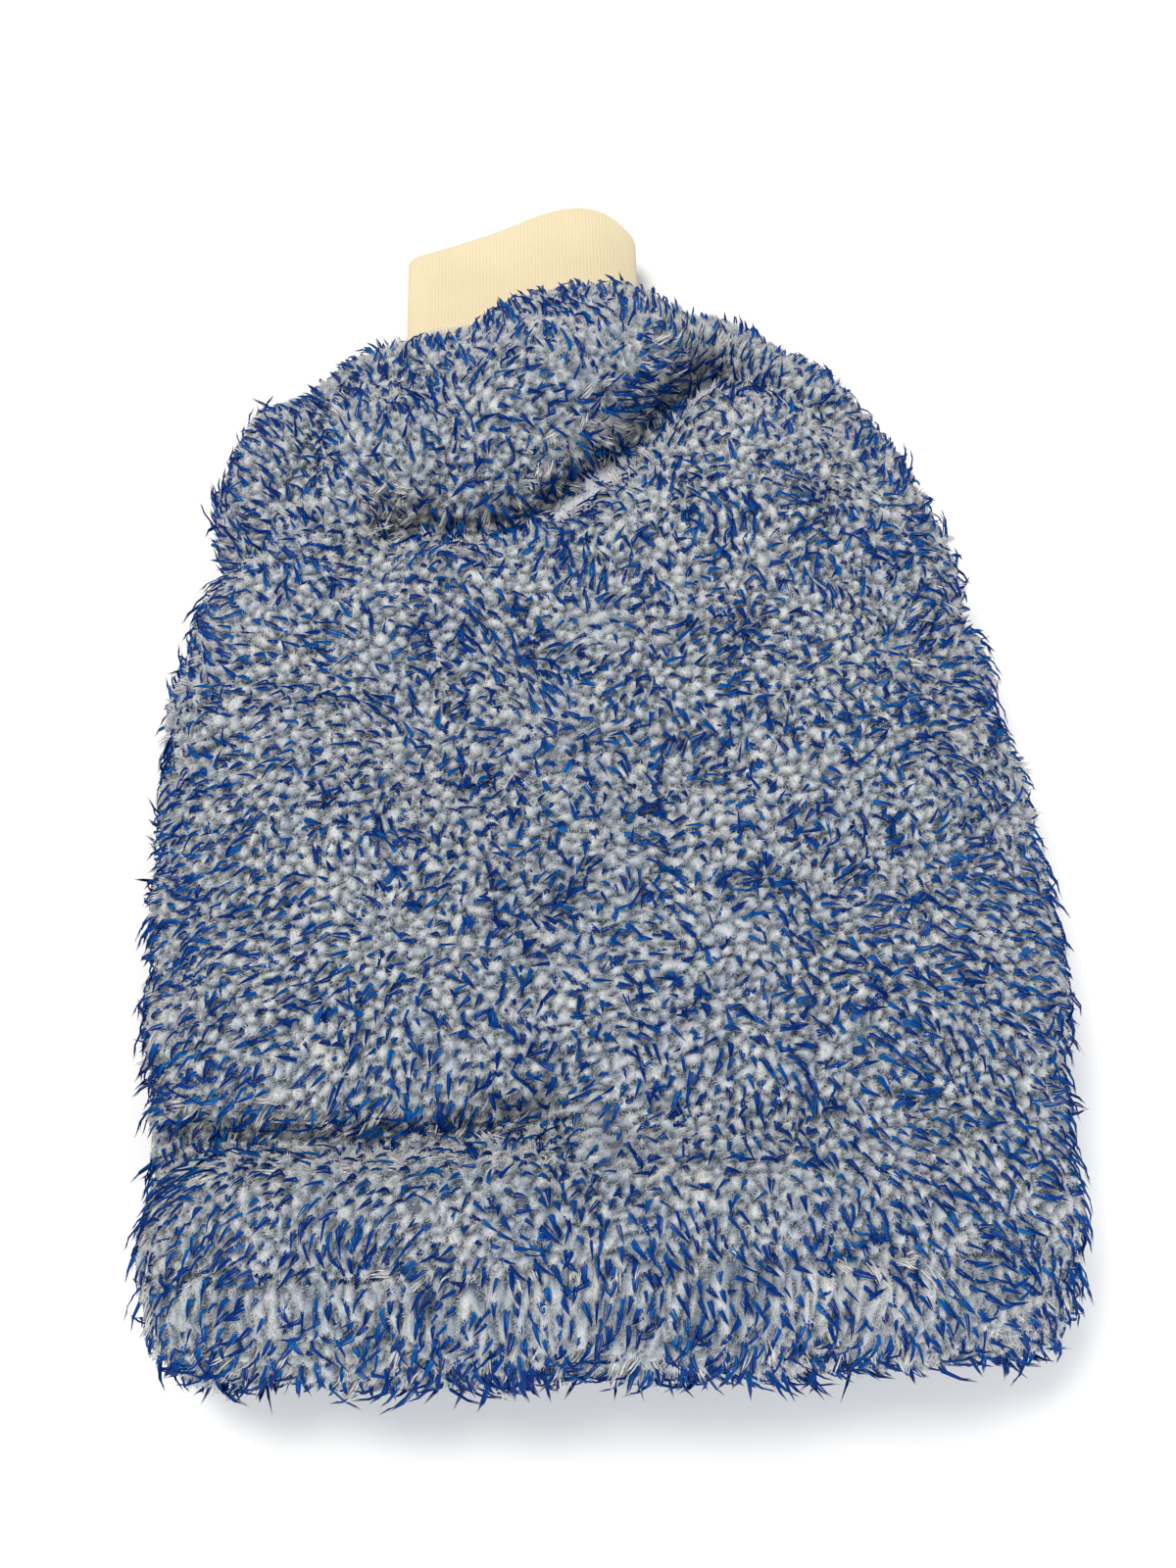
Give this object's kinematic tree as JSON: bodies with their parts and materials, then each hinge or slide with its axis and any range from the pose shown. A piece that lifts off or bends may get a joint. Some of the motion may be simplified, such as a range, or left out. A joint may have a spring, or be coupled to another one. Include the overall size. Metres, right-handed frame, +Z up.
{
  "type": "wash mitt",
  "caption": "Plush car-wash mitt: padded microfibre pocket with stiff cleaning bristles and an elastic rib-knit cuff that folds at the throat.",
  "frame": {"origin": "middle of the footprint's box, on the surface that the mitt lies on", "axes": "+Z up out of the back of the hand; +Y from the finger end to the cuff's mouth; +X to the right seen from above with the cuff away"},
  "size_m": [0.2026, 0.29, 0.062],
  "materials": {
    "pile": "soft white microfibre noodles",
    "bristle": "blue nylon filament, slightly glossy",
    "backing": "knitted cloth",
    "padding": "open foam",
    "lining": "smooth woven cloth",
    "thread": "spun sewing thread",
    "cuff": "cream rib knit",
    "elastic": "covered elastic"
  },
  "bodies": {
    "mitt": {"top_pile": "pile", "bottom_pile": "pile", "top_bristles": "bristle", "bottom_bristles": "bristle", "top_backing": "backing", "bottom_backing": "backing", "top_padding": "padding", "bottom_padding": "padding", "top_lining": "lining", "bottom_lining": "lining", "seam_allowance": "backing", "panel_seam_stitches": "thread", "lining_seam": "lining", "collar_tape": "lining"},
    "cuff": {"cuff_knit": "cuff", "cuff_elastic_bands": "elastic", "cuff_side_seam": "cuff", "cuff_join_stitches": "thread"}
  },
  "joints": [
    {"name": "cuff_fold", "type": "hinge", "parent": "mitt", "child": "cuff", "pos_m": [-0.016, 0.1015, 0.025], "axis": [1, 0, 0], "range_deg": [0, 40], "deforming": ["collar_tape"]}
  ]
}
